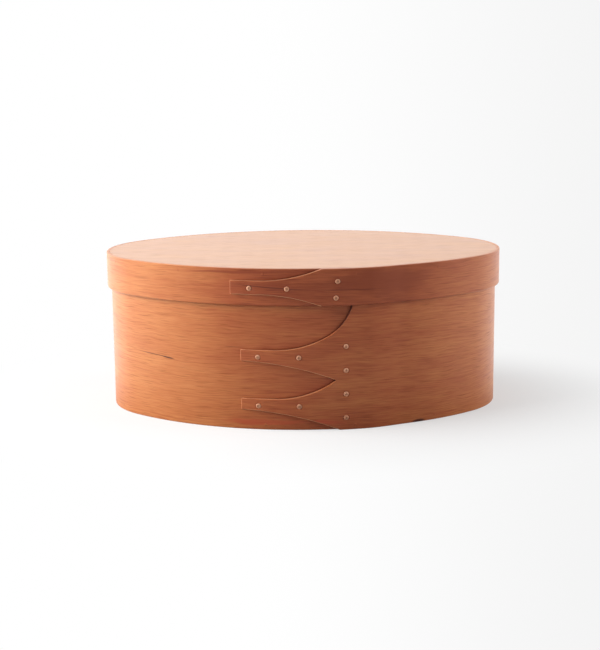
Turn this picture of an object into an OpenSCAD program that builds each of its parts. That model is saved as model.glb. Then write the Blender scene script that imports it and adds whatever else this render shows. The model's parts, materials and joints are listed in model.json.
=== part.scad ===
// Oval bentwood box with a lift-off lid.
// Each band is one thin strip bent round a form. Its outer end is cut into swallowtail
// fingers that lie on its inner end, and copper tacks clinched inside hold the lap shut.
// A flat board fills each band and is held by small wooden pegs driven in through the band.
// The origin is the middle of the base. X runs along the oval, the lap faces -Y, Z is up.

/* [Form] */
// Inside length of the box band, the length of the form it was bent on
form_length = 231; // [200:1:280]
// Inside width of the box band
form_width = 151; // [130:1:175]
// Radius of the form's two round ends
end_radius = 50; // [42:1:60]

/* [Bands] */
// Thickness of the bent strips
band_t = 2; // [1.5:0.1:2.6]
// Height of the box band
box_height = 88; // [80:1:110]
// Height of the lid band
lid_height = 21.5; // [19:0.5:26]
// Running gap between the box band and the lid band, all round
lid_gap = 0.4; // [0.3:0.05:0.8]

/* [Boards] */
// Thickness of the bottom board
bottom_t = 6; // [4:0.5:9]
// Thickness of the lid board
top_t = 6; // [4:0.5:8]
// Gap between a board's edge and its band
board_fit = 0.05; // [0.03:0.01:0.15]

/* [Box fingers] */
// Distance from the middle of the front to the finger tips
tip_x = 36; // [32:0.5:42]
// Width of a finger at its tip
finger_w = 6.7; // [5:0.1:8]
// Height of the lower finger's top edge above the base
lower_edge_z = 18.4; // [16:0.1:20]
// Spacing of the two fingers
finger_pitch = 28.5; // [26:0.5:31]
// Distance from the middle of the front to the start of a finger's upper curve
curve_x = 16.3; // [14:0.1:19]
// Radius of the first part of the upper curve
curve_r = 62; // [58:1:68]
// Turn of the first part of the upper curve, in degrees
curve_turn = 28.4; // [26:0.2:30]
// Radius of the steep part of the upper curve
steep_r = 30.5; // [28:0.5:32]
// Whole turn of the upper curve before it runs straight up, in degrees
steep_turn = 84; // [78:1:87]
// Radius of the long curve under a finger
under_r = 142; // [125:1:150]

/* [Lid finger] */
// Distance from the middle of the front to the lid finger's tip
lid_tip_x = 41.3; // [38:0.1:44]
// Width of the lid finger at its tip
lid_finger_w = 8; // [6:0.5:9]
// Distance from the middle of the front to the start of the lid finger's curves
lid_curve_x = 25; // [22:0.5:28]
// Radius of the lid finger's two curves
lid_curve_r = 97; // [90:1:110]

/* [Lap] */
// Thickness left at the finger tips
tip_t = 0.7; // [0.5:0.1:1.2]
// Distance right of the middle at which the fingers reach full thickness
full_x = 2; // [0:0.5:6]
// Distance from the end of the fingers' curves to where the lap starts to fall back
fall_gap = 4.5; // [3:0.5:8]
// Length over which the lap falls back to the wall
fall_run = 26; // [20:1:34]
// Gap between the lid strip's inner end and the box's own lap beside it
feather_gap = 0.6; // [0.4:0.1:1]
// Length over which the lid strip's inner end feathers out
feather_run = 4.6; // [3:0.2:5]

/* [Tacks] */
// Radius of a tack's head
head_r = 1.5; // [1.2:0.05:1.8]
// Thickness of a tack's head at its rim
head_t = 0.4; // [0.3:0.05:0.6]
// Height of the head's dome above its rim
head_dome = 0.2; // [0.1:0.05:0.3]
// Depth that the head is driven into the wood
head_sink = 0.2; // [0.1:0.05:0.3]
// Radius of a tack's shank
shank_r = 0.6; // [0.45:0.05:0.75]
// Radius of the clinched end inside
clinch_r = 1.1; // [0.9:0.05:1.3]
// Thickness of the clinched end
clinch_t = 0.35; // [0.25:0.05:0.5]
// Gap round a tack in its hole
tack_fit = 0.03; // [0.02:0.01:0.06]

/* [Tack places] */
// First tack of each box finger, left of the middle of the front
tip_tack_x = 25.7; // [24:0.1:29]
// Second tack of each box finger, left of the middle of the front
root_tack_x = 2.6; // [1:0.1:5]
// Height of the finger tacks below the finger's top edge
finger_tack_drop = 4.1; // [3:0.1:4.5]
// Distance of the box's tack column right of the middle of the front
column_x = 23.6; // [22:0.1:26]
// Height of the lowest tack of the column
column_z = 7.2; // [6:0.1:9]
// Spacing of the tacks in the column
column_pitch = 13.85; // [12.5:0.05:14.5]
// First tack of the lid finger, left of the middle of the front
lid_tip_tack_x = 29.9; // [29:0.1:33]
// Second tack of the lid finger, left of the middle of the front
lid_root_tack_x = 8.9; // [7:0.1:12]
// Drop of the lid finger's tacks below the middle of its band
lid_tack_drop = 0.4; // [0:0.1:1.2]
// Distance of the lid's pair of tacks right of the middle of the front
lid_column_x = 18.6; // [17:0.1:20]
// Height between the lid's pair of tacks
lid_column_pitch = 9.4; // [8:0.1:10]
// Drop of the lid's pair of tacks below the middle of its band
lid_column_drop = 1.2; // [0:0.1:1.5]
// Sideways lean of the lid's pair of tacks, from its middle to either tack
lid_column_lean = 0.5; // [0:0.1:0.8]

/* [Pegs] */
// Number of pegs in each board
peg_count = 12; // [8:1:12]
// Radius of a peg
peg_r = 0.8; // [0.6:0.05:1]
// Length of a peg inside the board
peg_bite = 8; // [6:0.5:12]
// Gap round a peg in its hole
peg_fit = 0.03; // [0.02:0.01:0.05]
// Room left behind a peg's inner end
peg_room = 0.3; // [0.1:0.1:1]
// Way along the wall from the middle of the front to the first peg
first_peg = 29; // [26:0.5:31]

/* [Hidden] */
// How far every cut runs past the surface that it opens
overrun = 5;
// Steps of a curve that is drawn point by point
curve_steps = 12;
$fn = 240;

// The four-arc oval of the form: two round ends and two long sides
half_length = form_length / 2;
half_width = form_width / 2;
end_x = half_length - end_radius;
side_r = (half_length ^ 2 + half_width ^ 2 - 2 * half_length * end_radius)
    / (2 * (half_width - end_radius));
side_y = side_r - half_width;
end_turn = atan2(side_y, end_x);

// Distances out from the form to each face of the two bands
box_face = band_t;
lid_well_face = box_face + lid_gap;
lid_face = lid_well_face + band_t;

// Heights of the lid's faces above the base
total_height = box_height + top_t;
lid_z = total_height - lid_height;
lid_middle_z = lid_z + lid_height / 2;

// Lengths along the box band's outer face
side_run = (side_r + box_face) * (90 - end_turn) * PI / 180;
end_run = (end_radius + box_face) * 2 * end_turn * PI / 180;
whole_run = 4 * side_run + 2 * end_run;

// The steep part of a box finger's upper curve
steep_start_x = -curve_x + curve_r * sin(curve_turn);
steep_start_rise = curve_r * (1 - cos(curve_turn));
steep_x = steep_start_x - steep_r * sin(curve_turn);
steep_rise = steep_start_rise + steep_r * cos(curve_turn);
straight_x = steep_x + steep_r * sin(steep_turn);
straight_rise = steep_rise - steep_r * cos(steep_turn);
straight_slope = 1 / tan(steep_turn);

// Where the upper finger's curve passes under the lid and meets the box's rim
upper_edge_z = lower_edge_z + finger_pitch;
straight_z = upper_edge_z + straight_rise;
lap_edge_x = lid_z > straight_z
    ? straight_x + (lid_z - straight_z) * straight_slope
    : steep_x + sqrt(steep_r ^ 2 - (upper_edge_z + steep_rise - lid_z) ^ 2);
lap_top_x = straight_x + (box_height - straight_z) * straight_slope;

// Where the lap falls back, and where the lid's strip ends beside the box's lap
fall_x = lap_top_x + fall_gap;
gone_x = fall_x + fall_run;
feather_end_x = lap_edge_x - feather_gap;
feather_x = feather_end_x - feather_run;

// The same places as directions from the centre of the front's long arc
front_turn = -90;
fall_turn = front_angle(fall_x);
gone_turn = front_angle(gone_x);
full_turn = front_angle(full_x);
feather_turn = front_angle(feather_x);
feather_end_turn = front_angle(feather_end_x);

// Heights of the pegs, in the middle of each board's thickness
bottom_peg_z = bottom_t / 2;
lid_peg_z = total_height - top_t / 2;

// Where the box's lap crosses its line of pegs, and the lid's lap crosses the lid's
box_lap_x = -tip_x + chord_reach(under_r, lower_edge_z - finger_w - bottom_peg_z);
lid_lap_x = -lid_curve_x + chord_reach(lid_curve_r, lid_peg_z - lid_middle_z - lid_finger_w / 2);

// Tacks as [name, distance along X, height]
box_tacks = [
    ["lower_finger_tip_tack", -tip_tack_x, lower_edge_z - finger_tack_drop],
    ["lower_finger_root_tack", -root_tack_x, lower_edge_z - finger_tack_drop],
    ["upper_finger_tip_tack", -tip_tack_x, lower_edge_z + finger_pitch - finger_tack_drop],
    ["upper_finger_root_tack", -root_tack_x, lower_edge_z + finger_pitch - finger_tack_drop],
    ["box_column_tack_1", column_x, column_z],
    ["box_column_tack_2", column_x, column_z + column_pitch],
    ["box_column_tack_3", column_x, column_z + 2 * column_pitch],
    ["box_column_tack_4", column_x, column_z + 3 * column_pitch]
];
lid_column_middle = lid_middle_z - lid_column_drop;
lid_tacks = [
    ["lid_finger_tip_tack", -lid_tip_tack_x, lid_middle_z - lid_tack_drop],
    ["lid_finger_root_tack", -lid_root_tack_x, lid_middle_z - lid_tack_drop],
    ["lid_column_tack_1", lid_column_x - lid_column_lean, lid_column_middle - lid_column_pitch / 2],
    ["lid_column_tack_2", lid_column_x + lid_column_lean, lid_column_middle + lid_column_pitch / 2]
];
box_tack_names = [for (tack = box_tacks) tack[0]];
lid_tack_names = [for (tack = lid_tacks) tack[0]];

cherry = "#b66f45";
cherry_board = "#c17f56";
cherry_peg = "#a35c38";
copper = "#d9a178";

// Direction of a point of the front wall that lies at x
function front_angle(x) = front_turn + asin(x / (side_r + box_face));

// How far along its chord an arc has run when it has climbed by rise from its level start
function chord_reach(radius, rise) = sqrt(radius ^ 2 - (radius - rise) ^ 2);

// Part of a band's thickness that the lap still stands out, falling from 1 to 0
function lap_share(turn) =
    turn < fall_turn ? 1
    : turn > gone_turn ? 0
    : (1 + cos(180 * (turn - fall_turn) / (gone_turn - fall_turn))) / 2;

// Part of a band's thickness that the lid's strip steps out over the box's lap
function step_share(turn) =
    turn > feather_end_turn ? lap_share(turn)
    : (1 - cos(180 * (turn - feather_turn) / (feather_end_turn - feather_turn))) / 2;

// A point of the front wall, at a direction and a distance out from the form
function front_point(turn, out) =
    [(side_r + out) * cos(turn), side_y + (side_r + out) * sin(turn)];

// Directions in equal steps from one up to, but not with, another
function turns(from, to) = [for (i = [0:curve_steps - 1]) from + (to - from) * i / curve_steps];

// Points of an arc, from one direction up to, but not with, another
function arc(centre, radius, from, to) =
    [for (a = turns(from, to)) centre + radius * [cos(a), sin(a)]];

// Thickness of the lap's outer layer, thinned towards its finger tips
function lap_t(turn, tip) =
    turn > full_turn ? band_t * lap_share(turn)
    : band_t - (band_t - tip_t) * ((full_turn - turn) / (full_turn - front_angle(-tip))) ^ 2;

// Outward direction of the wall at a length along the box band from the middle of the front
function wall_turn(run) =
    let(at = run - whole_run * floor(run / whole_run))
    let(side_step = 180 / PI / (side_r + box_face))
    let(end_step = 180 / PI / (end_radius + box_face))
    at < side_run ? front_turn + at * side_step
    : at < side_run + end_run ? -end_turn + (at - side_run) * end_step
    : at < 3 * side_run + end_run ? end_turn + (at - side_run - end_run) * side_step
    : at < 3 * side_run + 2 * end_run ? 180 - end_turn + (at - 3 * side_run - end_run) * end_step
    : 180 + end_turn + (at - 3 * side_run - 2 * end_run) * side_step;

// Direction of a peg, counted from 1
function peg_turn(i) = wall_turn(first_peg + whole_run * (i - 1) / peg_count);

// Whether a direction points at a round end
function at_end(turn) = abs(cos(turn)) > cos(end_turn);

function arc_centre(turn) =
    at_end(turn) ? [sign(cos(turn)) * end_x, 0] : [0, -sign(sin(turn)) * side_y];

function arc_radius(turn) = at_end(turn) ? end_radius : side_r;

// How far the lap lifts a peg's outer end
function peg_lift(turn, lap_x) =
    turn > front_angle(lap_x) && turn < gone_turn ? lap_share(turn) * band_t : 0;

// The oval, grown by a distance from the form
module oval(out) {
    far = 1 + (half_width + out + overrun) / side_y;
    far_x = end_x * far;
    far_y = side_y * (far - 1);
    intersection() {
        translate([0, side_y])
            circle(side_r + out);
        translate([0, -side_y])
            circle(side_r + out);
        polygon([
            [far_x, -far_y], [end_x, 0], [far_x, far_y],
            [-far_x, far_y], [-end_x, 0], [-far_x, -far_y]
        ]);
    }
    for (side = [-1, 1])
        translate([side * end_x, 0])
            circle(end_radius + out);
}

// Plan of a lap's outer layer over a face, from its finger tips to where it has gone
module lap_plan(face, tip) {
    tip_turn = front_angle(-tip);
    stretches = concat(
        turns(tip_turn, full_turn),
        turns(full_turn, fall_turn),
        turns(fall_turn, gone_turn)
    );
    outer = [for (a = stretches) front_point(a, face + lap_t(a, tip))];
    inner = [for (a = turns(gone_turn, tip_turn)) front_point(a, face - band_t / 2)];
    last = front_point(tip_turn, face - band_t / 2);
    polygon(concat(outer, [front_point(gone_turn, face)], inner, [last]));
}

// Plan of the room inside the lid band: the oval with a step that clears the box's lap
module lid_well(shrink) {
    face = lid_well_face - shrink;
    stretches = concat(
        turns(feather_turn, feather_end_turn),
        turns(feather_end_turn, fall_turn),
        turns(fall_turn, gone_turn)
    );
    outer = [for (a = stretches) front_point(a, face + band_t * step_share(a))];
    inner = [for (a = turns(gone_turn, feather_turn)) front_point(a, face - band_t / 2)];
    last = front_point(feather_turn, face - band_t / 2);
    oval(face);
    polygon(concat(outer, [front_point(gone_turn, face)], inner, [last]));
}

// Front view of what lies above one box finger's upper edge
module above_finger(edge_z) {
    left = -tip_x - overrun;
    top = total_height + overrun;
    top_x = straight_x + (top - edge_z - straight_rise) * straight_slope;
    long_curve = arc([-curve_x, edge_z + curve_r], curve_r, front_turn, front_turn + curve_turn);
    steep_centre = [steep_x, edge_z + steep_rise];
    steep_curve = arc(steep_centre, steep_r, front_turn + curve_turn, front_turn + steep_turn);
    straight_end = [[straight_x, edge_z + straight_rise], [top_x, top]];
    polygon(concat([[left, top], [left, edge_z]], long_curve, steep_curve, straight_end));
}

// Front view of what lies below one box finger's under edge
module below_finger(edge_z) {
    left = -tip_x - overrun;
    end_turn_under = acos(1 - (edge_z + overrun) / under_r);
    under_curve = arc([-tip_x, edge_z - under_r], under_r, -front_turn, -front_turn - end_turn_under);
    end_x_under = -tip_x + under_r * sin(end_turn_under);
    polygon(concat([[left, -overrun], [left, edge_z]], under_curve, [[end_x_under, -overrun]]));
}

// Front view of the wood that is cut away between and outside the box fingers
module box_finger_cut() {
    above_finger(upper_edge_z);
    intersection() {
        above_finger(lower_edge_z);
        below_finger(upper_edge_z - finger_w);
    }
    below_finger(lower_edge_z - finger_w);
}

// Front view of the wood that is cut away above the lid finger, from its middle line
module above_lid_finger() {
    left = -lid_tip_x - overrun;
    edge = lid_finger_w / 2;
    top = lid_height / 2 + overrun;
    sweep = acos(1 - (top - edge) / lid_curve_r);
    curve = arc([-lid_curve_x, edge + lid_curve_r], lid_curve_r, front_turn, front_turn + sweep);
    polygon(concat([[left, top], [left, edge]], curve, [[-lid_curve_x + lid_curve_r * sin(sweep), top]]));
}

// Front view of the wood that is cut away on both sides of the lid finger
module lid_finger_cut() {
    translate([0, lid_middle_z]) {
        above_lid_finger();
        mirror([0, 1])
            above_lid_finger();
    }
}

// A front view pushed back through the lap
module front_cut() {
    translate([0, side_y, 0])
        rotate([90, 0, 0])
            linear_extrude(side_r + lid_face + band_t + overrun)
                children();
}

// Direction of a tack that goes through a lap over a face
function tack_turn(entry, face) = front_turn + asin(entry[1] / (side_r + face));

// Distance out from the form to the seat of a tack's head
function tack_seat(entry, face, tip) = face + lap_t(tack_turn(entry, face), tip) - head_sink;

// Puts a piece that stands along Z on the front wall, with its origin at the tack's seat
module at_tack(entry, face, tip) {
    translate([0, side_y, entry[2]])
        rotate([0, 0, tack_turn(entry, face)])
            translate([side_r + tack_seat(entry, face, tip), 0, 0])
                rotate([0, 90, 0])
                    children();
}

// A tack along Z with its head seated at zero and its clinched end flush with the wood,
// or the hole, head seat and clinch recess that it needs
module tack(wood, hole) {
    depth = wood - tack_fit;
    dome_r = (head_r ^ 2 + head_dome ^ 2) / (2 * head_dome);
    if (hole) {
        translate([0, 0, -depth - overrun])
            cylinder(r = shank_r + tack_fit, h = depth + 2 * overrun);
        cylinder(r = head_r + tack_fit, h = overrun);
        translate([0, 0, -depth - overrun])
            cylinder(r = clinch_r + tack_fit, h = overrun + clinch_t + tack_fit);
    } else
        rotate_extrude() {
            translate([0, -depth + clinch_t / 2])
                square([shank_r, depth - clinch_t / 2 + head_t / 2]);
            square([head_r, head_t]);
            intersection() {
                translate([0, head_t + head_dome - dome_r])
                    circle(dome_r);
                translate([0, head_t / 2])
                    square([head_r, head_t / 2 + head_dome]);
            }
            translate([0, -depth])
                square([clinch_r, clinch_t]);
        }
}

// A rod driven square into the wall, from a distance out from the form
module wall_rod(turn, out, radius, length) {
    translate(arc_centre(turn))
        rotate([0, 0, turn])
            translate([arc_radius(turn) + out, 0, 0])
                rotate([0, -90, 0])
                    cylinder(r = radius, h = length);
}

// A peg whose outer end lies out from the form, or the hole for it
module peg(turn, out, length, hole) {
    if (hole)
        wall_rod(turn, out + overrun, peg_r + peg_fit, length + overrun + peg_room);
    else
        wall_rod(turn, out, peg_r, length);
}

// A peg of the bottom board, or its hole
module bottom_peg(i, hole = false) {
    turn = peg_turn(i);
    out = box_face + peg_lift(turn, box_lap_x);
    color(cherry_peg)
        translate([0, 0, bottom_peg_z])
            peg(turn, out, out + peg_bite, hole);
}

// A peg of the lid board, or its hole
module lid_peg(i, hole = false) {
    turn = peg_turn(i);
    out = lid_face + peg_lift(turn, lid_lap_x);
    color(cherry_peg)
        translate([0, 0, lid_peg_z])
            peg(turn, out, band_t + peg_bite, hole);
}

// A tack of the box band, or its hole
module box_tack(entry, hole = false) {
    color(copper)
        at_tack(entry, box_face, tip_x)
            tack(tack_seat(entry, box_face, tip_x), hole);
}

// A tack of the lid band, or its hole
module lid_tack(entry, hole = false) {
    color(copper)
        at_tack(entry, lid_face, lid_tip_x)
            tack(tack_seat(entry, lid_face, lid_tip_x) - lid_well_face, hole);
}

module box_band() {
    color(cherry)
        difference() {
            union() {
                linear_extrude(box_height)
                    oval(box_face);
                difference() {
                    linear_extrude(box_height)
                        lap_plan(box_face, tip_x);
                    front_cut()
                        box_finger_cut();
                }
            }
            translate([0, 0, -overrun])
                linear_extrude(box_height + 2 * overrun)
                    oval(0);
            for (entry = box_tacks)
                box_tack(entry, hole = true);
            for (i = [1:peg_count])
                bottom_peg(i, hole = true);
        }
}

module box_bottom() {
    color(cherry_board)
        difference() {
            linear_extrude(bottom_t)
                oval(-board_fit);
            for (i = [1:peg_count])
                bottom_peg(i, hole = true);
        }
}

module lid_band() {
    color(cherry)
        difference() {
            union() {
                translate([0, 0, lid_z])
                    linear_extrude(lid_height)
                        oval(lid_face);
                difference() {
                    translate([0, 0, lid_z])
                        linear_extrude(lid_height)
                            lap_plan(lid_face, lid_tip_x);
                    front_cut()
                        lid_finger_cut();
                }
            }
            translate([0, 0, lid_z - overrun])
                linear_extrude(lid_height + 2 * overrun)
                    lid_well(0);
            for (entry = lid_tacks)
                lid_tack(entry, hole = true);
            for (i = [1:peg_count])
                lid_peg(i, hole = true);
        }
}

module lid_top() {
    color(cherry_board)
        difference() {
            translate([0, 0, box_height])
                linear_extrude(top_t)
                    lid_well(board_fit);
            for (i = [1:peg_count])
                lid_peg(i, hole = true);
        }
}

box_band();
box_bottom();
lid_band();
lid_top();
for (entry = box_tacks)
    box_tack(entry);
for (entry = lid_tacks)
    lid_tack(entry);
for (i = [1:peg_count]) {
    bottom_peg(i);
    lid_peg(i);
}
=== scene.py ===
# %% [markdown]
# # An oval bentwood box, dressed for its portrait
#
# The packed model already has every piece of the box at its real size: two bent strips, two flat
# boards, the copper tacks that hold each strip's lap shut, and the little pegs that hold the boards.
# This lesson gives each of them the surface that a maker would see on the bench. We load the model,
# keep the box that it fills, and then work through the wood and the copper, the strips, the boards,
# the tacks and pegs, and last the studio around them.

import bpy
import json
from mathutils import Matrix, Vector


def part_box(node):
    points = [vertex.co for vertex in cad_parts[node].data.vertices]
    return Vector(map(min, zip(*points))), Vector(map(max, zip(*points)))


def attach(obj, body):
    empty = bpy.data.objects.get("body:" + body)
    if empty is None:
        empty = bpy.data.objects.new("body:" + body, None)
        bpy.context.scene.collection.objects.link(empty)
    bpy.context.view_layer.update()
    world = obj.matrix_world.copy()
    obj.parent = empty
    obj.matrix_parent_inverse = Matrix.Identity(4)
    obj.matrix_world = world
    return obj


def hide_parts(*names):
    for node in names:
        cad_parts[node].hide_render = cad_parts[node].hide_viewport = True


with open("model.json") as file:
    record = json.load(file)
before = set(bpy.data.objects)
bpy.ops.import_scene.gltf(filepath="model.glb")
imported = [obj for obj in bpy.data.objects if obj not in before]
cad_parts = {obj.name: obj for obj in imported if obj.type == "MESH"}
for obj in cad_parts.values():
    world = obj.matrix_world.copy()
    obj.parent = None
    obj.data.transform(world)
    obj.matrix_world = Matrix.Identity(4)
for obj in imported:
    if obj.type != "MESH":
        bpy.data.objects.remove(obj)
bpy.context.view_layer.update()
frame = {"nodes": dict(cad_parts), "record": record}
print("nodes in the packed model:", len(frame["nodes"]))

# %% Bring in the other modules
import json
import math

import bmesh
import bpy
import numpy as np
from mathutils import Matrix, Vector
from mathutils.geometry import delaunay_2d_cdt

MM = 0.001

# %% [markdown]
# ## The oval and its wall
#
# Both strips follow one form, an oval of four arcs: two round ends and two long, slightly bowed sides.
# Its length and width come from the model. Only the strip's thickness, the lid's running gap and the
# radius of the ends are written again here, because a bounding box can't tell them. A place on the wall
# is then three numbers: the direction that the wall faces, the distance out from the form, and the
# height. Working in these numbers keeps the lap, the tacks and the pegs square to the curve.

# %% Sizes of the form
STRIP_T = 2 * MM
END_R = 50 * MM
LID_GAP = 0.4 * MM
lid_well = STRIP_T + LID_GAP
box_low, box_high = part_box("box_band")
lid_low, lid_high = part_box("lid_band")
half_length = lid_high.x - lid_well - STRIP_T
half_width = lid_high.y - lid_well - STRIP_T
end_x = half_length - END_R
side_r = (half_length**2 + half_width**2 - 2 * half_length * END_R) / (2 * (half_width - END_R))
side_y = side_r - half_width
end_turn = math.atan2(side_y, end_x)
FRONT = -math.pi / 2
print("the form is, in mm:", round(2 * half_length / MM, 1), "by", round(2 * half_width / MM, 1))
print("its long sides have a radius of", round(side_r / MM, 1), "mm")


# %% A point of the wall
def wall_points(turn, out, z):
    """Points at a direction, a distance out from the form and a height, each one number or an array."""
    turn, out, z = np.broadcast_arrays(turn, out, z)
    at_end = np.abs(np.cos(turn)) > math.cos(end_turn)
    centre_x = np.where(at_end, np.sign(np.cos(turn)) * end_x, 0)
    centre_y = np.where(at_end, 0, -np.sign(np.sin(turn)) * side_y)
    radius = np.where(at_end, END_R, side_r) + out
    return np.stack([centre_x + radius * np.cos(turn), centre_y + radius * np.sin(turn), z], -1)


def turn_of(point):
    """The direction that the wall faces where it passes a point."""
    across = math.atan2(abs(point.y), abs(point.x) - end_x)
    if abs(point.x) > end_x and across < end_turn:
        return math.atan2(point.y, point.x - math.copysign(end_x, point.x))
    return math.atan2(point.y + math.copysign(side_y, point.y), point.x)


def run_at(turn):
    """Run along the strip, leftwards from the front's middle, for directions that go on falling."""
    quarters, rest = np.divmod(FRONT - turn, math.pi / 2)
    starts_on_side = quarters % 2 == 0
    side_turn = math.pi / 2 - end_turn
    first = np.minimum(rest, np.where(starts_on_side, side_turn, end_turn))
    first_r = np.where(starts_on_side, side_r, END_R) + STRIP_T
    second_r = np.where(starts_on_side, END_R, side_r) + STRIP_T
    quarter = (side_r + STRIP_T) * side_turn + (END_R + STRIP_T) * end_turn
    return quarters * quarter + first * first_r + (rest - first) * second_r


WHOLE_RUN = float(run_at(FRONT - 2 * math.pi))
print("one time round the strip:", round(WHOLE_RUN / MM, 1), "mm")

# %% [markdown]
# ## Shader maths that reads like maths
#
# A wood grain is a long sum of small effects, and a node tree written link by link hides that sum. One
# small class wraps a socket and lets Python's own operators add the Math nodes, so that a line such as
# `1 - lines * 0.3` is what it says. Any other node comes from one method, `add`, which takes the node's
# type, its settings and what goes into its sockets.


# %% A socket that Python's operators extend
class Flow:
    """An output socket in a material's node tree."""

    def __init__(self, recipe, socket):
        self.recipe = recipe
        self.socket = socket

    def math(self, operation, *values):
        """A Math node on up to three values."""
        return self.recipe.add("ShaderNodeMath", {"operation": operation}, dict(enumerate(values)))

    def sister(self, output):
        """Another output of the same node, by its name or number."""
        return Flow(self.recipe, self.socket.node.outputs[output])

    def __add__(self, other):
        return self.math("ADD", self, other)

    def __sub__(self, other):
        return self.math("SUBTRACT", self, other)

    def __rsub__(self, other):
        return self.math("SUBTRACT", other, self)

    def __mul__(self, other):
        return self.math("MULTIPLY", self, other)

    def __truediv__(self, other):
        return self.math("DIVIDE", self, other)

    def __rtruediv__(self, other):
        return self.math("DIVIDE", other, self)

    __radd__ = __add__
    __rmul__ = __mul__


print("a socket now takes + - * and / on either side")


# %% A material as a recipe
class Recipe:
    """A material that is written as a list of steps."""

    def __init__(self, name, tree=None):
        if tree is None:
            self.material = bpy.data.materials.new(name)
            self.material.use_nodes = True
            tree = self.material.node_tree
        self.tree = tree
        self.tree.nodes.clear()

    def add(self, kind, settings=None, inputs=None, output=0):
        """Adds a node, sets its settings first and then its sockets, and gives one of its outputs."""
        node = self.tree.nodes.new(kind)
        for name, value in (settings or {}).items():
            if name == "stops":
                self.set_stops(node.color_ramp, value)
            else:
                setattr(node, name, value)
        for name, value in (inputs or {}).items():
            if isinstance(value, Flow):
                self.tree.links.new(value.socket, node.inputs[name])
            else:
                node.inputs[name].default_value = value
        return Flow(self, node.outputs[output]) if node.outputs else None

    def set_stops(self, ramp, stops):
        while len(ramp.elements) < len(stops):
            ramp.elements.new(1)
        for element, (place, colour) in zip(ramp.elements, stops):
            element.position = place
            element.color = (*colour, 1)

    def vector(self, operation, *values, output=0):
        """A Vector Math node on up to three values."""
        inputs = dict(enumerate(values))
        return self.add("ShaderNodeVectorMath", {"operation": operation}, inputs, output)

    def combine(self, x, y, z):
        return self.add("ShaderNodeCombineXYZ", inputs={0: x, 1: y, 2: z})

    def attribute(self, name, output="Fac"):
        """What one of the mesh's own attributes says."""
        return self.add("ShaderNodeAttribute", {"attribute_name": name}, output=output)

    def noise(self, place, scale=1, detail=2, roughness=0.5):
        """Plain noise from 0 to 1, about 0.5 on average."""
        return self.add(
            "ShaderNodeTexNoise",
            inputs={"Vector": place, "Scale": scale, "Detail": detail, "Roughness": roughness},
        )

    def step(self, value, low, high):
        """A soft step that rises from 0 at low to 1 at high."""
        return self.add(
            "ShaderNodeMapRange",
            {"interpolation_type": "SMOOTHSTEP"},
            {"Value": value, "From Min": low, "From Max": high},
        )

    def mix(self, share, colour, tone, blend="MIX"):
        """A Mix node that lays a tone over a colour."""
        settings = {"data_type": "RGBA", "blend_type": blend}
        return self.add("ShaderNodeMix", settings, {0: share, 6: colour, 7: (*tone, 1)}, output=2)

    def finish(self, shader):
        self.add("ShaderNodeOutputMaterial", inputs={"Surface": shader})
        return self.material


print("a recipe's steps:", [name for name in vars(Recipe) if not name.startswith("_")])

# %% [markdown]
# ## Cherry wood
#
# Every wooden mesh carries an attribute named `grain`: how far along the board or strip a point is, how
# far across, and how deep. The wood is worked out from that, so it bends round the box with the strip
# as real veneer does, and the two layers of a lap show different stretches of one strip. The colour is
# built as a tree builds it: broad bands of growth, fine lines inside them that wander, and short dark
# ticks. Along the strip the colour turns slowly from honey to red. Along the fingers a thin darker line
# is painted shade in the corner. The Ambient Occlusion node finds that corner, and it looks only at its
# own mesh, so lifting the lid leaves the wood as it was.

# %% Tones of the oiled wood
DARK_RED = (0.26, 0.052, 0.019)
RED_BROWN = (0.39, 0.094, 0.032)
ORANGE = (0.49, 0.155, 0.049)
HONEY = (0.58, 0.225, 0.076)
PEACH = (0.78, 0.40, 0.20)
GUM_AND_SHADE = (0.055, 0.012, 0.009)
RED = (0.47, 0.070, 0.030)
TICK = (0.60, 0.50, 0.42)
WOOD_STOPS = ((0.0, DARK_RED), (0.34, RED_BROWN), (0.66, ORANGE), (1.0, HONEY))
print("from dark to light, the wood has", len(WOOD_STOPS), "tones")

# %% Layers of growth
LAYERS = {
    # rates along and across the grain for each millimetre, a seed of its own, detail, roughness
    "quick": (0.070, 0.12, 3.0, 1, 0.5),
    "bands": (0.011, 0.10, 7.0, 2, 0.5),
    "lines": (0.028, 1.05, 11.0, 3, 0.6),
    "fine": (0.080, 1.50, 13.0, 2, 0.6),
    "cloud": (0.030, 0.05, 17.0, 2, 0.5),
    "ticks": (0.075, 2.60, 19.0, 1, 0.5),
}
SLOW_RATES = (0.009, 0.016, 0.05)
SLOW_SWAY = 8.0
QUICK_SWAY = 1.6
DEPTH_DRIFT = 0.6
TICK_STEP = (0.56, 0.68)


def layer(recipe, name, along, across, seed):
    """One of the wood's layers of noise."""
    along_rate, across_rate, own_seed, detail, roughness = LAYERS[name]
    place = recipe.combine(along * along_rate, across * across_rate, seed + own_seed)
    return recipe.noise(place, detail=detail, roughness=roughness)


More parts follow.
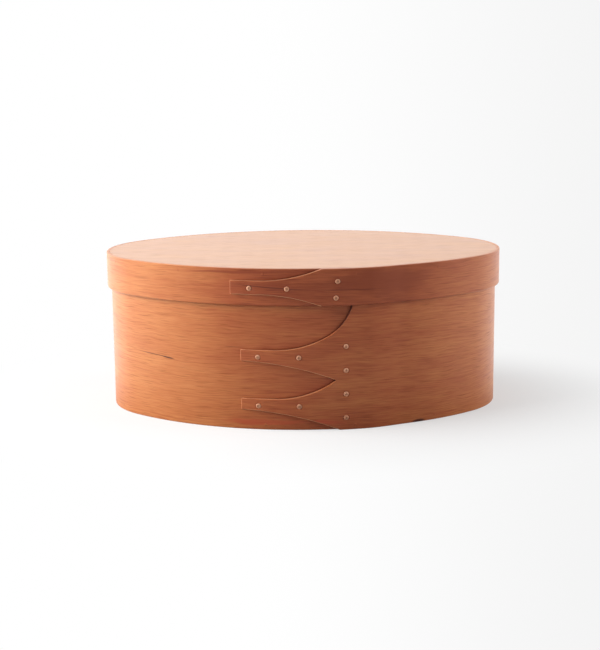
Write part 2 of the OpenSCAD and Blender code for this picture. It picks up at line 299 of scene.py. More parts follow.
class Growth:
    """Where the grain attribute says that a point lies, in millimetres, and each layer there."""

    def __init__(self, recipe, seed):
        place = recipe.vector("MULTIPLY", recipe.attribute("grain", "Vector"), (1 / MM,) * 3)
        self.along = recipe.add("ShaderNodeSeparateXYZ", inputs={0: place})
        self.across = self.along.sister(1)
        depth = self.along.sister(2)

        # The lines wander: a slow sway of a few millimetres and a small quick one
        along_rate, across_rate, depth_rate = SLOW_RATES
        slow_place = (self.along * along_rate, self.across * across_rate, depth * depth_rate + seed)
        slow = recipe.noise(recipe.combine(*slow_place), detail=1)
        self.quick = layer(recipe, "quick", self.along, self.across, seed)
        sway = (slow - 0.5) * SLOW_SWAY
        level = self.across + sway + (self.quick - 0.5) * QUICK_SWAY + depth * DEPTH_DRIFT

        # From broad bands to single lines, each drawn out along the strip, and short dark ticks
        names = ("bands", "lines", "fine", "ticks")
        self.bands, self.lines, self.fine, ticks = (
            layer(recipe, name, self.along, level, seed) for name in names
        )
        self.cloud = layer(recipe, "cloud", self.along, self.across, seed)
        self.ticks = recipe.step(ticks, *TICK_STEP)


print("layers of growth:", list(LAYERS))

# %% Marks, painted shade in corners, and painted lines on cut edges
MARK_EDGE = (1.0, 0.15)
MARK_WANDER = 1.5
CORNER_REACH = 1.6 * MM
CORNER_STEP = (0.94, 0.42)
CORNER_SHADE_SHARE = 0.80
EDGE_HIGHLIGHT_SHARE = 0.70
DARK_EDGE_SHARE = 0.80


def marked(recipe, wood, colour, marks):
    """Lays marks on the wood, each with an edge that wanders as the grain does.

    A mark is a place along and across, its half length and half height, its lean, its strength and its
    colour.
    """
    for mark_run, mark_z, half_run, half_z, lean, strength, tone in marks:
        away_run = (wood.along - mark_run) / half_run
        level = wood.across - mark_z - (wood.along - mark_run) * lean
        away_z = (level + (wood.quick - 0.5) * half_z * MARK_WANDER) / half_z
        mark = recipe.step(away_run * away_run + away_z * away_z, *MARK_EDGE)
        colour = recipe.mix(mark * strength, colour, tone)
    return colour


def shade_painted_in_corners(recipe, colour):
    """Painted shade: darkens the corners along the fingers, as far as a mesh attribute allows."""
    settings = {"samples": 8, "only_local": True}
    corner = recipe.add("ShaderNodeAmbientOcclusion", settings, {"Distance": CORNER_REACH}, output="AO")
    # The corners that the AO node finds are darkened with painted shade
    painted_shade = recipe.step(corner, *CORNER_STEP) * recipe.attribute("seam")
    return recipe.mix(painted_shade * CORNER_SHADE_SHARE, colour, GUM_AND_SHADE)


def cut(recipe, colour):
    """A cut edge: painted highlight along the grain, darker end grain and painted shade across it."""
    edge = recipe.attribute("edge")
    colour = recipe.mix(recipe.step(edge, 0.0, 1.0) * EDGE_HIGHLIGHT_SHARE, colour, PEACH)
    return recipe.mix(recipe.step(edge, 0.0, -1.0) * DARK_EDGE_SHARE, colour, GUM_AND_SHADE)


print("a corner is dark within", CORNER_REACH / MM, "mm")

# %% The wood's recipe
BANDS_SHARE, LINES_SHARE, FINE_SHARE, CLOUD_SHARE = 0.50, 0.40, 0.60, 0.36
LATE_WOOD = (0.44, 0.34)
LATE_DARKER = 0.12
TICK_SHARE = 0.62
SHINE_LINES, SHINE_TICKS, SHINE_CLOUD = 0.10, 0.08, 0.06
HEIGHT_LINES, HEIGHT_FINE, HEIGHT_TICKS = 0.4, 0.5, 0.6
WOOD_BUMP = {"Strength": 0.35, "Distance": 0.03 * MM}

# Honey wood lies between these runs along a strip, in millimetres, and turns red beyond them
HONEY_STARTS = (0.0, 100.0)
HONEY_ENDS = (430.0, 605.0)


def cherry(
    name, light, seed, warmth=None, marks=(), contrast=1.0, tint=(1, 1, 1), roughness=0.42, gloss=0.55
):
    """Oiled cherry that follows the grain attribute.

    Warmth is how much lighter the honey stretch of a strip is, and the tint multiplies the colour of the
    wood, but not that of its marks.
    """
    recipe = Recipe(name)
    wood = Growth(recipe, seed)
    if warmth:
        honey = recipe.step(wood.along, *HONEY_STARTS) * (1 - recipe.step(wood.along, *HONEY_ENDS))
        light = light + honey * warmth
    growth = (
        (wood.bands - 0.5) * BANDS_SHARE
        + (wood.lines - 0.5) * LINES_SHARE
        + (wood.fine - 0.5) * FINE_SHARE
        + (wood.cloud - 0.5) * CLOUD_SHARE
    )
    tone = light + (growth - recipe.step(wood.lines, *LATE_WOOD) * LATE_DARKER) * contrast
    colour = recipe.add("ShaderNodeValToRGB", {"stops": WOOD_STOPS}, {0: tone})
    colour = recipe.mix(wood.ticks * TICK_SHARE, colour, TICK, blend="MULTIPLY")
    colour = recipe.mix(1.0, colour, tint, blend="MULTIPLY")
    colour = cut(recipe, shade_painted_in_corners(recipe, marked(recipe, wood, colour, marks)))

    shine = roughness + (wood.lines - 0.5) * SHINE_LINES + wood.ticks * SHINE_TICKS
    shine = shine + (wood.cloud - 0.5) * SHINE_CLOUD
    height = wood.lines * HEIGHT_LINES + wood.fine * HEIGHT_FINE - wood.ticks * HEIGHT_TICKS
    bump = recipe.add("ShaderNodeBump", inputs={**WOOD_BUMP, "Height": height})
    shader = recipe.add(
        "ShaderNodeBsdfPrincipled",
        inputs={"Base Color": colour, "Roughness": shine, "Normal": bump, "Specular IOR Level": gloss},
    )
    return recipe.finish(shader)


print("honey wood runs from", HONEY_STARTS[1], "to", HONEY_ENDS[0], "mm along a strip")

# %% The woods of this box
BOX_MARKS = (
    # A gum streak on the left, thin and then dark, and a hairline left of the upper finger
    (92.5, 39.1, 15.0, 0.35, 0.05, 0.75, GUM_AND_SHADE),
    (83.5, 38.4, 5.5, 0.50, 0.09, 0.90, GUM_AND_SHADE),
    (40.5, 48.0, 7.0, 0.22, 0.00, 0.60, GUM_AND_SHADE),
    # A knot's shadow, and a dark flame at the foot of the front, the painted shadow of the lower
    # finger's edge
    (545.5, 0.9, 5.2, 1.30, 0.00, 0.90, GUM_AND_SHADE),
    (602.5, 2.6, 5.5, 0.55, 0.50, 0.70, GUM_AND_SHADE),
    # Darker, redder tone round the left end, a painted shade that tones down the left lamp there
    (160.0, 44.0, 38.0, 90.0, 0.00, 0.20, DARK_RED),
    # Red heartwood along the foot
    (622.0, 4.4, 36.0, 2.3, 0.00, 0.75, RED),
    (22.0, 4.4, 30.0, 2.3, 0.00, 0.60, RED),
)
LID_MARKS = (
    # A dark line under the rim, and redder wood right of the lap
    (34.0, 91.8, 36.0, 1.0, -0.015, 0.85, DARK_RED),
    (570.0, 86.0, 34.0, 9.0, 0.00, 0.80, DARK_RED),
    # One long dark line of growth runs the length of the finger
    (632.0, 83.5, 26.0, 0.50, 0.07, 0.48, GUM_AND_SHADE),
    (588.0, 81.8, 24.0, 0.50, 0.02, 0.34, GUM_AND_SHADE),
)
BOX_LIGHT, BOX_WARMTH, BOX_SEED = 0.38, 0.42, 2.0
LID_LIGHT, LID_WARMTH, LID_SEED = 0.17, 0.61, 31.0
BOARD_LIGHT, BOARD_SEED = 0.88, 57.0
BOARD_LOOK = {"contrast": 0.9, "tint": (0.97, 1.07, 0.90), "roughness": 0.33, "gloss": 0.5}
END_GRAIN_DARKER = 0.06
box_wood = cherry("oiled_cherry_box_strip", BOX_LIGHT, BOX_SEED, BOX_WARMTH, BOX_MARKS)
lid_wood = cherry("oiled_cherry_lid_strip", LID_LIGHT, LID_SEED, LID_WARMTH, LID_MARKS)
board_wood = cherry("oiled_cherry_board", BOARD_LIGHT, BOARD_SEED, **BOARD_LOOK)
peg_wood = {
    "box": cherry("end_grain_of_box_pegs", BOX_LIGHT - END_GRAIN_DARKER, BOX_SEED, BOX_WARMTH),
    "lid": cherry("end_grain_of_lid_pegs", LID_LIGHT - END_GRAIN_DARKER, LID_SEED, LID_WARMTH),
}
print("woods:", [wood.name for wood in (box_wood, lid_wood, board_wood, *peg_wood.values())])

# %% [markdown]
# ## Copper
#
# The tacks are soft copper, hammered home and then left to dull. Oil has darkened the dimple that the
# hammer leaves in the middle and the rim against the wood, and the ring between them is rubbed bright.
# An attribute named `stain` says where, and small noise in the roughness gives the hammer marks.


# %% The copper's recipe
COPPER_STOPS = ((0.30, (0.64, 0.27, 0.15)), (0.62, (0.86, 0.44, 0.27)))
STAIN = (0.26, 0.085, 0.04)
STAIN_SHARE = 0.75
HAMMER_SCALE = 1500
CLOUD_SCALE = 420
COPPER_METALLIC = 0.35
COPPER_ROUGHNESS = 0.42
HAMMER_ROUGHNESS = 0.2
COPPER_BUMP = {"Strength": 0.3, "Distance": 0.02 * MM}


def copper(name):
    """Dulled copper with fine hammer marks."""
    recipe = Recipe(name)
    spot = recipe.add("ShaderNodeTexCoord", output="Object")
    hammered = recipe.noise(spot, scale=HAMMER_SCALE, detail=3)
    cloud = recipe.noise(spot, scale=CLOUD_SCALE, detail=2)
    colour = recipe.add("ShaderNodeValToRGB", {"stops": COPPER_STOPS}, {0: cloud})
    colour = recipe.mix(recipe.attribute("stain") * STAIN_SHARE, colour, STAIN)
    shader = recipe.add(
        "ShaderNodeBsdfPrincipled",
        inputs={
            "Base Color": colour,
            "Metallic": COPPER_METALLIC,
            "Roughness": COPPER_ROUGHNESS + (hammered - 0.5) * HAMMER_ROUGHNESS,
            "Normal": recipe.add("ShaderNodeBump", inputs={**COPPER_BUMP, "Height": hammered}),
        },
    )
    return recipe.finish(shader)


tack_copper = copper("dulled_copper")
print("metal:", tack_copper.name)

# %% [markdown]
# ## The flat pattern of a lap
#
# A maker cuts the fingers while the strip is flat, then steams and bends it. We do the same. The outline
# is drawn flat, from the same arcs as in the solid model: each finger has a straight upper edge that
# sweeps up in one or two arcs, and an under edge that falls away in one long arc.


# %% Arcs and corners of a flat outline
def arc(centre, radius, start, stop, steps):
    """Points of an arc in degrees, without its last one."""
    turns = np.radians(np.linspace(start, stop, steps, endpoint=False))
    return [(centre[0] + radius * math.cos(a), centre[1] + radius * math.sin(a)) for a in turns]


def straight(start, stop, spacing=2.0):
    """Points of a straight stretch, without its last one."""
    steps = max(1, round(math.dist(start, stop) / spacing))
    return [tuple(p) for p in np.linspace(start, stop, steps, endpoint=False)]


def finger_tip(tip_x, low, high, ease=0.45, ease_steps=4, spacing=1.0):
    """The blunt end of a finger, from its under edge to its upper edge, with eased corners."""
    return (
        arc((tip_x + ease, low + ease), ease, 270, 180, ease_steps)
        + straight((tip_x, low + ease), (tip_x, high - ease), spacing)
        + arc((tip_x + ease, high - ease), ease, 180, 90, ease_steps)
    )


print("a finger tip has", len(finger_tip(0, 0, 6.5)), "points")

# %% Outline of the box's lap, in millimetres from the middle of the front
JOIN_X = 40.0
TIP_X = 36.0
TIP_ROOM = 1.0
FINGER_W = 6.7
LOWER_EDGE_Z = 18.4
FINGER_PITCH = 28.5
UPPER_EDGE_Z = LOWER_EDGE_Z + FINGER_PITCH
CURVE_X = 16.3
CURVE_R = 62.0
CURVE_TURN = 28.4
CURVE_STEPS = 26
STEEP_R = 30.5
STEEP_TURN = 84.0
STEEP_STEPS = 30
UNDER_R = 142.0
LOWER_UNDER_STEPS = 40
UPPER_UNDER_STEPS = 46
RIM_SPACING = 1.5

box_height = (box_high.z - box_low.z) / MM
steep_rise = CURVE_R - (CURVE_R - STEEP_R) * math.cos(math.radians(CURVE_TURN))
steep_x = -CURVE_X + (CURVE_R - STEEP_R) * math.sin(math.radians(CURVE_TURN))


def upper_sweep(edge_z):
    """The two arcs that a finger's upper edge climbs."""
    long_arc = arc((-CURVE_X, edge_z + CURVE_R), CURVE_R, -90, -90 + CURVE_TURN, CURVE_STEPS)
    steep_centre = (steep_x, edge_z + steep_rise)
    short_arc = arc(steep_centre, STEEP_R, -90 + CURVE_TURN, -90 + STEEP_TURN, STEEP_STEPS)
    last = math.radians(-90 + STEEP_TURN)
    end = (steep_centre[0] + STEEP_R * math.cos(last), steep_centre[1] + STEEP_R * math.sin(last))
    return long_arc + short_arc + [end]


def under_z(edge_z, x):
    """Height of a finger's under edge, which leaves the tip level and falls away."""
    return edge_z - FINGER_W - UNDER_R + math.sqrt(UNDER_R**2 - (x + TIP_X) ** 2)


def until_under(sweep, edge_z):
    """The part of a sweep that lies below the under edge of the finger above it, and where they meet."""
    kept = [sweep[0]]
    for here, there in zip(sweep, sweep[1:]):
        room = under_z(edge_z, here[0]) - here[1]
        next_room = under_z(edge_z, there[0]) - there[1]
        if next_room <= 0:
            share = room / (room - next_room)
            return kept, here[0] + share * (there[0] - here[0])
        kept.append(there)


lower_sweep, CUSP_X = until_under(upper_sweep(LOWER_EDGE_Z), UPPER_EDGE_Z)
print("the fingers part", round(CUSP_X, 1), "mm right of the middle")


# %% Round both fingers
def finger(edge_z, under_from, steps):
    """A finger's under edge, its tip and the straight stretch of its upper edge."""
    under = [(x, under_z(edge_z, x)) for x in np.linspace(under_from, -TIP_X + TIP_ROOM, steps)]
    tip = finger_tip(-TIP_X, edge_z - FINGER_W, edge_z)
    return under + tip + straight((-TIP_X + TIP_ROOM, edge_z), (-CURVE_X, edge_z))


def box_lap_outline():
    """From the join at the base, leftwards round both fingers, to the join at the rim."""
    foot_x = -TIP_X + math.sqrt(UNDER_R**2 - (UNDER_R - LOWER_EDGE_Z + FINGER_W) ** 2)
    climb = upper_sweep(UPPER_EDGE_Z)
    last = climb[-1]
    rim_x = last[0] + (box_height - last[1]) / math.tan(math.radians(STEEP_TURN))
    return (
        straight((JOIN_X, 0.0), (foot_x, 0.0))
        + finger(LOWER_EDGE_Z, foot_x, LOWER_UNDER_STEPS)
        + lower_sweep
        + finger(UPPER_EDGE_Z, CUSP_X, UPPER_UNDER_STEPS)
        + climb[:-1]
        + straight(last, (rim_x, box_height), RIM_SPACING)
        + straight((rim_x, box_height), (JOIN_X, box_height))
        + [(JOIN_X, box_height)]
    )


box_lap = box_lap_outline()
print("the box's lap is outlined by", len(box_lap), "points")

# %% Where painted shade darkens the corners on the box's lap
CORNER_SHADE_TIP = 0.15
CORNER_SHADE_FADE = (-40.0, -8.0)
UNDER_FADE = (1.6, 3.0)
PAST_TIP = 4.0
CUSP_ROOM = 6.0
LOWER_UNSHADED_X = 60.0


def faded(value, start, stop):
    """A share that rises evenly from 0 at start to 1 at stop."""
    return min(1, max(0, (value - start) / (stop - start)))


def corner_shade_strength(x):
    """Share of painted corner shade along a finger's upper edge: little beside the thin tip, all at the
    root.
    """
    return CORNER_SHADE_TIP + (1 - CORNER_SHADE_TIP) * faded(x, *CORNER_SHADE_FADE)


def box_corner_shade(x, z):
    """The same for any point of the front. A finger's under edge gets no painted shade, except by the
    cusp.
    """
    unshaded = 1.0
    for edge_z, unshaded_until in ((LOWER_EDGE_Z, LOWER_UNSHADED_X), (UPPER_EDGE_Z, CUSP_X - CUSP_ROOM)):
        if -TIP_X - PAST_TIP < x < unshaded_until:
            away = abs(z - under_z(edge_z, max(x, -TIP_X)))
            unshaded = min(unshaded, faded(away, *UNDER_FADE))
    return corner_shade_strength(x) * unshaded


# Prints the share of painted corner shade at the middle of the front
print("share of dirt at the middle of the front:", round(corner_shade_strength(0), 2))

# %% Outline of the lid's lap
LID_TIP_X = 41.3
LID_FINGER_W = 8.0
LID_CURVE_X = 25.0
LID_CURVE_R = 97.0
LID_CURVE_STEPS = 40
LID_CORNER_SHADE_HALF = 1.0
lid_height = (lid_high.z - lid_low.z) / MM


def lid_lap_outline():
    """The same for the lid's single finger, whose two edges are alike."""
    middle = lid_height / 2
    high = middle + LID_FINGER_W / 2
    sweep = math.degrees(math.acos(1 - (lid_height - high) / LID_CURVE_R))
    top = arc((-LID_CURVE_X, high + LID_CURVE_R), LID_CURVE_R, -90, -90 + sweep, LID_CURVE_STEPS)
    end_x = -LID_CURVE_X + LID_CURVE_R * math.sin(math.radians(sweep))
    upper = straight((-LID_TIP_X + TIP_ROOM, high), (-LID_CURVE_X, high)) + top
    lower = [(x, lid_height - z) for x, z in reversed(upper)]
    return (
        straight((JOIN_X, 0.0), (end_x, 0.0))
        + [(end_x, 0.0)]
        + lower
        + finger_tip(-LID_TIP_X, middle - LID_FINGER_W / 2, high)
        + upper
        + straight((end_x, lid_height), (JOIN_X, lid_height))
        + [(JOIN_X, lid_height)]
    )


def lid_corner_shade(x, z):
    """The share of painted corner shade by the lid's finger, whose under edge goes without it too."""
    return corner_shade_strength(x) * faded(z, lid_height / 2 - LID_CORNER_SHADE_HALF, lid_height / 2 + LID_CORNER_SHADE_HALF)


lid_lap = lid_lap_outline()
print("the lid's lap is outlined by", len(lid_lap), "points")

# %% [markdown]
# ## From flat pattern to bent strip
#
# A strip is one long piece that passes under its own lap: it starts thin beneath the lap, runs round
# the box and climbs onto itself, where its end is cut into fingers. In the mesh every point has a run,
# which is how far along the strip it lies, and a height. Two functions say how far out the strip's inner
# face is at a run and how thick it is there, and the wall function bends the flat point into place.
#
# The edges of a real strip are eased with fine paper, and those soft edges are what catch the light. So
# the outline is drawn several times, each time a little further in and a little higher, as a quarter
# round at both faces. The big faces are then filled: a plain grid where the strip is plain, and
# triangles round the curves and the tack heads where the outline is free.

# %% Where a strip thins, climbs and ends
LAP_GAP = 0.03 * MM
FULL_X = 2.0
FALL_GAP = 4.5
FALL_RUN = 26.0
TIP_SHARE = 0.35
RIM_ROOM = 0.01

# The samples start a quarter round before the front and go on well past the lap's second layer
FIRST_TURN = FRONT + math.pi / 2
LAST_TURN = FRONT - 2.6 * math.pi
TURN_SAMPLES = 6000
all_turns = np.linspace(FIRST_TURN, LAST_TURN, TURN_SAMPLES)
all_runs = run_at(all_turns)
rim_x = min(x for x, z in box_lap if z > box_height - RIM_ROOM)


def turn_at(run):
    """The direction that the wall faces at a run, going on below -pi for the second time round."""
    return np.interp(run, all_runs, all_turns)


def front_turn(x, out=STRIP_T):
    """The direction of a point of the front, from its distance in millimetres right of the middle."""
    return FRONT + np.arcsin(np.asarray(x) * MM / (side_r + out))


def smooth_fall(value, start, stop):
    """A cosine that falls from 1 at start to 0 at stop."""
    place = np.clip((value - start) / (stop - start), 0, 1)
    return (1 + np.cos(np.pi * place)) / 2


print("the upper finger meets the rim", round(rim_x, 1), "mm right of the middle")


# %% The strip as a class
INNER_END_ROOM = 4.0
FEATHER_ROOM = 0.4
PARED_LIMIT = 1.2


class Strip:
    """A bent strip: where it runs, how thick it is, and the outline of its lap."""

    def __init__(self, name, base, low, height, outline, seam, tip_x, feather=None):
        self.name = name
        # Where painted shade darkens the corners along the fingers
        self.seam = seam
        self.base = base
        self.low = low
        self.height = height
        self.outline = outline
        self.tip_x = tip_x
        self.feather = feather
        self.fall = front_turn([rim_x + FALL_GAP, rim_x + FALL_GAP + FALL_RUN])
        fallen = rim_x + FALL_GAP + FALL_RUN - INNER_END_ROOM
        inner_end = feather[1] - FEATHER_ROOM if feather else fallen
        self.start_run = float(run_at(front_turn(inner_end)))
        self.dents = []

    def feathered(self, turn):
        """Share by which the inner end is pared away from inside, beneath the lap."""
        if not self.feather:
            return np.zeros_like(turn)
        return 1 - smooth_fall(turn, *front_turn(self.feather))

    def inner(self, run):
        """Distance of the inner face out from the form."""
        turn = turn_at(run)
        over = smooth_fall(turn + 2 * math.pi, *self.fall)
        return self.base + STRIP_T * (over + self.feathered(turn)) + LAP_GAP * over

    def thickness(self, run):
        """Thickness, pared down to the finger tips and to the inner end."""
        turn = turn_at(run)
        over = turn + 2 * math.pi
        full, tip = front_turn([FULL_X, -self.tip_x])
        pared = 1 - (1 - TIP_SHARE) * np.clip((full - over) / (full - tip), 0, PARED_LIMIT) ** 2
        if self.feather:
            inner_end = 1 - self.feathered(turn)
        else:
            inner_end = smooth_fall(turn, *self.fall)
        gap = LAP_GAP * smooth_fall(over, *self.fall)
        return STRIP_T * pared * inner_end - gap

    def flat_run(self, x):
        """Run of a point of the lap's outer face, from its millimetres right of the middle."""
        rough = WHOLE_RUN + run_at(front_turn(x, self.base + 2 * STRIP_T))
        out = self.inner(rough) + self.thickness(rough)
        return WHOLE_RUN + run_at(front_turn(x, out))

    def place(self, run, z, depth):
        """Points in space: depth is counted out from the inner face."""
        return wall_points(turn_at(run), self.inner(run) + depth, self.low + z)


print("a strip is", STRIP_T / MM, "mm thick, and", round(STRIP_T * TIP_SHARE / MM, 2), "mm at a tip")

# %% The two strips
# The inner end of the lid's strip stops beside the box's own lap, which the lid clears there
LAP_FOOT_Z = 20.0
FEATHER_START, FEATHER_END = 5.2, 0.6
lid_low_z = (lid_low.z - box_low.z) / MM
lap_edge_x = max(x for x, z in box_lap if LAP_FOOT_Z < z < lid_low_z)
LID_FEATHER = (lap_edge_x - FEATHER_START, lap_edge_x - FEATHER_END)
box_strip = Strip("box_band", 0.0, box_low.z, box_high.z - box_low.z, box_lap, box_corner_shade, TIP_X)
lid_strip = Strip(
    "lid_band", lid_well, lid_low.z, lid_high.z - lid_low.z, lid_lap, lid_corner_shade, LID_TIP_X, LID_FEATHER
)
for strip in (box_strip, lid_strip):
    tip_run = float(strip.flat_run(-strip.tip_x))
    print(strip.name, "is", round((tip_run - strip.start_run) / MM, 1), "mm of strip")

# %% [markdown]
# ## Where the tacks and pegs go
#
# The tacks and pegs are taken from the model, so that the wood can be dented under the tacks. Each
# stands square to the wall, so the middle of its bounding box lies on its axis, and its two ends are
# found by measuring its points along that axis, outwards from the form.


# %% Read the pins from the model
class Pin:
    """A tack or a peg of the model."""

    def __init__(self, node):
        low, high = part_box(node)
        middle = (low + high) / 2
        self.node = node
        self.turn = turn_of(middle)
        self.z = middle.z
        self.radius = (high.z - low.z) / 2
        self.outwards = np.array((math.cos(self.turn), math.sin(self.turn), 0))
        self.leftwards = np.array((math.sin(self.turn), -math.cos(self.turn), 0))
        self.origin = wall_points(self.turn, 0, self.z)
        points = np.array([v.co for v in frame["nodes"][node].data.vertices])
        reach = (points - self.origin) @ self.outwards
        self.foot = float(reach.min())
        self.top = float(reach.max())

    def place(self, left, up, out):
        """Points round the pin's axis."""
        left, up, out = (np.asarray(v)[..., None] for v in np.broadcast_arrays(left, up, out))
        return self.origin + left * self.leftwards + up * np.array((0, 0, 1)) + out * self.outwards


HEAD_T = 0.4 * MM
HEAD_DOME = 0.2 * MM


def seat_of(tack):
    """How far out from the form the underside of a tack's head lies."""
    return tack.top - HEAD_T - HEAD_DOME


bodies = frame["record"]["behaviour"]["bodies"]
tacks = {body: [Pin(node) for node in nodes if "tack" in node] for body, nodes in bodies.items()}
pegs = {body: [Pin(node) for node in nodes if "peg" in node] for body, nodes in bodies.items()}
for strip, body in ((box_strip, "box"), (lid_strip, "lid")):
    for tack in tacks[body]:
        run = WHOLE_RUN + float(run_at(tack.turn))
        sunk = float(strip.inner(run) + strip.thickness(run)) - seat_of(tack)
        strip.dents.append((run, tack.z - strip.low, tack.radius, sunk))
    depths = sorted({round(sunk / MM, 2) for *_, sunk in strip.dents})
    print(strip.name, "is dented by", len(strip.dents), "tacks, to these depths in mm:", depths)

# %% Tools for flat shapes
LEAST_OPENING = 0.3
INSIDE_ONLY = 1
JOIN_DISTANCE = 1e-7


def inward(points):
    """For each corner of a closed outline, the way in that keeps its distance from both sides alike."""
    sides = np.roll(points, -1, axis=0) - points
    sides /= np.linalg.norm(sides, axis=1)[:, None]
    turned = np.stack([-sides[:, 1], sides[:, 0]], 1)
    area = np.sum(points[:, 0] * np.roll(points[:, 1], -1) - np.roll(points[:, 0], -1) * points[:, 1])
    turned *= np.sign(area)
    before = np.roll(turned, 1, axis=0)
    opening = np.maximum(1 + np.sum(turned * before, axis=1), LEAST_OPENING)
    return (turned + before) / opening[:, None]


def filled(border, inside):
    """Triangles inside a closed border that use the border's points and then the inside ones."""
    points = [Vector((x / MM, z / MM)) for x, z in (*border, *inside)]
    count = len(border)
    sides = [(i, (i + 1) % count) for i in range(count)]
    _, _, faces, origins, _, _ = delaunay_2d_cdt(points, sides, [], INSIDE_ONLY, JOIN_DISTANCE)
    return [[origins[corner][0] for corner in face] for face in faces]


def even_grid(low, high, spacing):
    """Points of an even grid between two corners."""
    return [
        np.array((x, y))
        for x in np.arange(low[0] + spacing / 2, high[0], spacing)
        for y in np.arange(low[1] + spacing / 2, high[1], spacing)
    ]


def clear_of(points, border, margin):
    """Those points that lie inside a border and at least margin from it."""
    ahead = np.roll(border, -1, axis=0)
    side = ahead - border
    kept = []
    for point in points:
        share = np.clip(np.sum((point - border) * side, 1) / np.sum(side * side, 1), 0, 1)
        away = np.linalg.norm(border + share[:, None] * side - point, axis=1).min()
        crosses = (border[:, 1] > point[1]) != (ahead[:, 1] > point[1])
        rise = np.where(crosses, side[:, 1], 1)
        at = border[:, 0] + (point[1] - border[:, 1]) / rise * side[:, 0]
        if away > margin and np.sum(crosses & (at > point[0])) % 2:
            kept.append(point)
    return kept


def bridged(loops):
    """Faces between neighbouring loops of points."""
    faces = []
    for lower, upper in zip(loops, loops[1:]):
        for i in range(len(lower)):
            j = (i + 1) % len(lower)
            faces.append((lower[i], lower[j], upper[j], upper[i]))
    return faces


SQUARE = np.array([(0.0, 0.0), (1.0, 0.0), (1.0, 1.0), (0.0, 1.0)])
print("the ways in from a square's corners:", inward(SQUARE).tolist())

# %% The border of a strip
RUN_STEP = 2.0 * MM
ROW_STEP = 3.0 * MM
LEAST_ROWS = 4


def strip_border(strip):
    """How many points the lap has, the runs and rows of the plain part's grid, and the whole border."""
    lap = [(float(strip.flat_run(x)), z * MM) for x, z in strip.outline]
    count = round((lap[0][0] - strip.start_run) / RUN_STEP)
    runs = np.linspace(lap[0][0], strip.start_run, count + 1)
    rows = max(LEAST_ROWS, round(strip.height / ROW_STEP))
    heights = np.linspace(strip.height, 0, rows + 1)
    top = [(run, strip.height) for run in runs[1:]]
    end = [(strip.start_run, z) for z in heights[1:-1]]
    bottom = [(run, 0.0) for run in runs[:0:-1]]
    return len(lap), runs, rows, np.array([*lap, *top, *end, *bottom])


for strip in (box_strip, lid_strip):
    print(strip.name, "has a border of", len(strip_border(strip)[-1]), "points")

# %% How the edges are eased
EASE = 0.32 * MM
INNER_EASE = 0.12 * MM
RIM_EASE = 0.45 * MM
EASE_LIMIT = 0.85
BLEND_REACH = 2
INNER_STEPS = 3
OUTER_STEPS = 5
AT_EDGE = 1e-6


def eased_by(strip, flat, lower_ease):
    """How far the edge is eased at each point, outside and inside: a rim more than a finger."""
    ease = np.where(flat[:, 1] > strip.height - AT_EDGE, RIM_EASE, EASE)
    ease = np.where(flat[:, 1] < AT_EDGE, lower_ease, ease)
    fit = np.minimum(1, EASE_LIMIT * strip.thickness(flat[:, 0]) / (ease + INNER_EASE))
    ease = ease * fit
    wrapped = np.concatenate([ease[-BLEND_REACH:], ease, ease[:BLEND_REACH]])
    window = 2 * BLEND_REACH + 1
    return np.convolve(wrapped, np.ones(window) / window, "valid"), INNER_EASE * fit


def quarter_rounds(ease, inner_ease):
    """Rings from the inner face to the outer one: the way in, the distance to a face, and which face."""
    rings = []
    for k in range(INNER_STEPS):
        a = math.pi / 2 * k / (INNER_STEPS - 1)
        rings.append((inner_ease * (1 - math.sin(a)), inner_ease * (1 - math.cos(a)), False))
    for k in range(OUTER_STEPS):
        a = math.pi / 2 * k / (OUTER_STEPS - 1)
        rings.append((ease * (1 - math.cos(a)), ease * (1 - math.sin(a)), True))
    return rings


print("an eased edge has", INNER_STEPS + OUTER_STEPS, "steps")

# %% How much painted highlight or shade a cut edge gets
TURN_FROM = 0.35
TURN_OVER = 0.4
UPPER_EDGE_TONE = 0.4
TIP_TONE = 0.6
TIP_LENGTH = 2 * MM
RIM_TONE = 0.35
CREST_TONE = 0.35


def edge_tones(strip, flat, ways_in):
    """Above 0 along the grain, below 0 across it, and above 0 again at a thin tip and the upper rim."""
    across_share = np.abs(ways_in[:, 0]) / np.linalg.norm(ways_in, axis=1)
    # Above 0 is a painted highlight; below 0 is darker end grain with painted shade
    tone = 1 - 2 * np.clip((across_share - TURN_FROM) / TURN_OVER, 0, 1)
    tone = np.where((tone > 0) & (ways_in[:, 1] < 0), UPPER_EDGE_TONE * tone, tone)
    tip_run = float(strip.flat_run(-strip.tip_x))
    tone = np.where(flat[:, 0] > tip_run - TIP_LENGTH, TIP_TONE, tone)
    tone = np.where(flat[:, 1] > strip.height - AT_EDGE, RIM_TONE, tone)
    return np.where(flat[:, 1] < AT_EDGE, 0, tone)


print("an edge turns dark where it runs more than", TURN_FROM + TURN_OVER / 2, "across the grain")

# %% A strip's mesh while it grows
class Skin:
    """Points and faces of a strip, with what the wood's attributes say at each point."""

    def __init__(self, strip):
        self.strip = strip
        self.points = []
        self.faces = []
        self.attributes = {"grain": [], "edge": [], "seam": []}

    def add_points(self, run, z, depth, tones=None):
        """Bends flat points into place and gives their numbers."""
        strip = self.strip
        first = len(self.points)
        tones = np.zeros(len(run)) if tones is None else tones
        for place, r, h, d, tone in zip(strip.place(run, z, depth), run, z, depth, tones):
            self.points.append(place)
            self.attributes["grain"].append((r, h + strip.low, d + strip.base))
            self.attributes["edge"].append(tone)
            # How much painted corner shade the wood gets here, on the front only
            seam = strip.seam(place[0] / MM, h / MM) if place[1] < 0 else 0
            self.attributes["seam"].append(seam)
        return list(range(first, len(self.points)))

    def height_of(self, corner):
        """Height of a point above the strip's lower edge."""
        return self.attributes["grain"][corner][1] - self.strip.low


